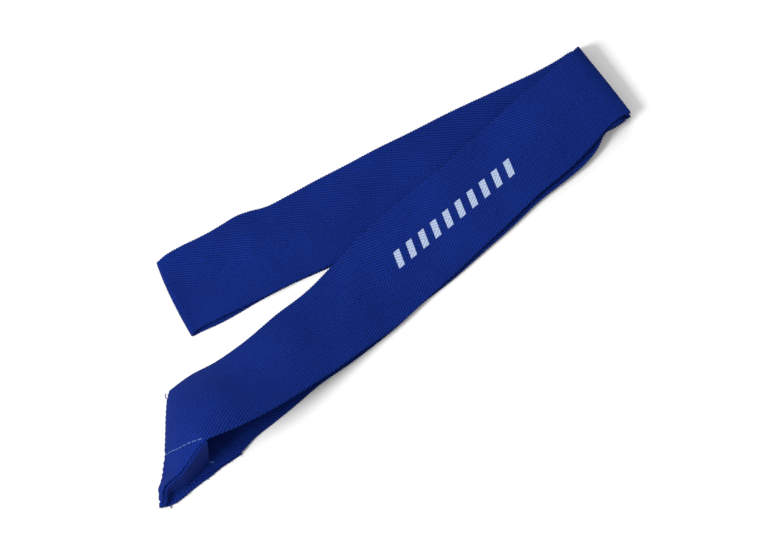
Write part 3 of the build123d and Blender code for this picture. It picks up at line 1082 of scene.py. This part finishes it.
# ---- the printed mark ----
@dataclass(frozen=True)
class PrintedMark(Trim):
    """A plain row of slanted ink bars on the front leg's upper ply.

    Attributes:
        start: where the first bar starts along the leg.
        bars: number of bars.
        pitch: distance from one bar to the next.
        width: width of a bar.
        height: height of a bar, across the leg.
        slant: how far its top lies past its foot.
        middle: place of the row's middle line.
        lift: how far the film lies above the cloth.
        grid: rows and columns of a bar's mesh.
        reach: rows of the tape, from the lap, among which the bars lie.
    """

    slot: ClassVar[Slot] = Slot.INK
    start: float = 141.0
    bars: int = 10
    pitch: float = 8.8
    width: float = 4.0
    height: float = 9.0
    slant: float = 3.0
    middle: float = -7.0
    lift: float = 0.06
    grid: tuple[int, int] = (7, 13)
    reach: int = 400

    def build(self, loop: TapeLoop) -> Object:
        """Return the ink film as one mesh: slanted bars laid out flat, then put on the cloth."""
        rows = np.arange(loop.leg_rows[0], loop.leg_rows[0] + self.reach)
        centre = loop.middle[rows].mean(axis=1)
        far, near = loop.middle[rows, 0, 1], loop.middle[rows, -1, 1]
        bar, s, t = np.meshgrid(np.arange(self.bars), np.linspace(0, 1, self.grid[0]),
                                np.linspace(0, 1, self.grid[1]), indexing="ij")
        x = self.start + bar * self.pitch + s * self.width + t * self.slant
        y = self.middle + (t - 0.5) * self.height
        row = np.interp(x, centre[:, 0], rows)
        edge = np.interp(row, rows, far)
        share = (edge - y) / (edge - np.interp(row, rows, near))
        film = loop.at(row, share, TAPE_THICKNESS / 2 + self.lift)
        faces = grid_faces(*self.grid, False, self.bars)[:, ::-1]
        return mesh_object("printed_mark_film", film.reshape(-1, 3), faces,
                           loop.tape_uv(row, share).reshape(-1, 2))


# ---- the room ----
@dataclass(frozen=True)
class Studio:
    """A plain pale floor, soft light and the camera.

    Attributes:
        aim: point the camera looks at, in the loop's frame.
        azimuth: camera direction round the object, in degrees.
        elevation: camera direction above the floor, in degrees.
        distance: camera distance in metres.
        span: width of the view at the aim, in metres.
        sensor: width of the camera's sensor, in millimetres.
        floor_size: side of the floor, in metres.
        floor_colour: its colour.
        sky: strength of the sky at the horizon, and what is added overhead.
        lamps: name, place, size and power of each lamp, in metres and watts.
    """

    aim: Point = (129.5, -8.6, 0.0)
    azimuth: float = -40.0
    elevation: float = 76.0
    distance: float = 6.0
    span: float = 0.419
    sensor: float = 36.0
    floor_size: float = 8.0
    floor_colour: str = "#c9c9c9"
    sky: Span = (0.46, 0.66)
    lamps: tuple[tuple[str, Point, float, float], ...] = (
        ("key", (-1.15, 0.25, 1.20), 0.55, 39.0),
        ("fill", (0.70, 1.15, 1.10), 1.1, 10.5))

    def floor(self) -> None:
        """Add the floor."""
        # Finish: matt white paper, even and without gloss.
        bpy.ops.mesh.primitive_plane_add(size=self.floor_size, location=(0.0, 0.0, 0.0))
        plane = bpy.context.object
        plane.name = "floor"
        material, _, shader = new_material("white_paper")
        shader.inputs["Base Color"].default_value = hex_to_linear(self.floor_colour)
        shader.inputs["Roughness"].default_value = 0.9
        shader.inputs["Specular IOR Level"].default_value = 0.1
        plane.data.materials.append(material)

    def light(self) -> None:
        """Add the sky, brighter overhead, and the lamps, which all face the origin."""
        world = bpy.data.worlds.new("studio")
        world.use_nodes = True
        tree = world.node_tree
        upward = add_node(tree, "SeparateXYZ", {0: add_node(tree, "TexCoord")}).outputs[2]
        horizon, overhead = self.sky
        strength = add_node(tree, "Math", {0: upward, 1: overhead, 2: horizon},
                            operation="MULTIPLY_ADD")
        background = tree.nodes["Background"]
        background.inputs[0].default_value = (1.0, 1.0, 1.0, 1.0)
        tree.links.new(strength.outputs[0], background.inputs[1])
        bpy.context.scene.world = world
        for name, place, size, power in self.lamps:
            data = bpy.data.lights.new(name, "AREA")
            data.size = size
            data.energy = power
            lamp = bpy.data.objects.new(name, data)
            lamp.location = place
            lamp.rotation_euler = Vector(place).to_track_quat("Z", "Y").to_euler()
            bpy.context.scene.collection.objects.link(lamp)

    def camera(self) -> None:
        """Add the camera and make it the scene's."""
        azimuth, elevation = np.radians(self.azimuth), np.radians(self.elevation)
        back = Vector((np.sin(azimuth) * np.cos(elevation),
                       -np.cos(azimuth) * np.cos(elevation), np.sin(elevation)))
        aim = Vector(((np.array(self.aim) + TO_ROW_FRAME) * MM).tolist())
        data = bpy.data.cameras.new("camera")
        data.sensor_width = self.sensor
        data.lens = self.sensor * self.distance / self.span
        camera = bpy.data.objects.new("camera", data)
        camera.location = aim + back * self.distance
        camera.rotation_euler = back.to_track_quat("Z", "Y").to_euler()
        bpy.context.scene.collection.objects.link(camera)
        bpy.context.scene.camera = camera
        bpy.context.scene.view_settings.view_transform = "Standard"


STITCH_ROWS = (
    StitchRow("inner_row", (((0.04, 0.10), (0.04, 0.94)),), sink=0.385),
    StitchRow("middle_row", (((0.015, 0.965), (0.31, 0.805)), ((0.31, 0.805), (0.54, 0.61)),
                             ((0.61, 0.54), (0.94, 0.27))), gap=0.3, radius=0.17),
    StitchRow("outer_row", (((0.40, 0.95), (0.67, 0.74)), ((0.76, 0.68), (0.95, 0.52))),
              sink=0.385),
)
LOOSE_THREADS = (
    LooseThread("inner_corner", (0.078, 0.078), ((-0.64, 0.94, 0.2), (-0.45, 2.26, 0.3),
                                                 (0.50, 3.08, 0.3), (1.22, 3.01, 0.1))),
    LooseThread("upper_tip", (0.86, 0.86), ((-0.52, 0.95, 0.1), (-0.22, 2.07, 0.1))),
    LooseThread("lower_tip", (1.0, 0.90), ((0.10, -0.80, 0.0), (-0.40, -1.90, 0.0))),
)


def main() -> None:
    """Build the object and its room, in order."""
    logging.basicConfig(level=logging.INFO, format="%(message)s")
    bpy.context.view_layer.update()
    cloth = ClothFinish().build()
    thread = ThreadFinish("polyester_sewing_thread", "#5979a8", 0.55).build()
    yarn = ThreadFinish("ravelled_cotton_yarn", "#122462", 0.85).build()
    ink = InkFinish().build()

    loop = TapeLoop(CornerLap())
    tape = loop.build()
    LOG.info("tape: %d vertices, %.1f mm long", len(tape.data.vertices), loop.length.max())

    pieces = []
    for row in STITCH_ROWS:
        for side in Side:
            node = f"{side.value}_thread_{row.name}"
            pieces.append(row.dress(row.build(loop, side), thread, node))
    for tail in LOOSE_THREADS:
        pieces.append(tail.dress(tail.build(loop), yarn, f"loose_thread_{tail.name}"))
    fray = FrayedEnd()
    pieces.append(fray.dress(fray.build(loop), yarn))
    mark = PrintedMark()
    pieces.append(mark.dress(mark.build(loop), ink, "printed_mark"))
    loop.dress(tape, cloth, pieces)

    studio = Studio()
    studio.floor()
    studio.light()
    studio.camera()
    LOG.info("studio")


if __name__ == "__main__":
    main()
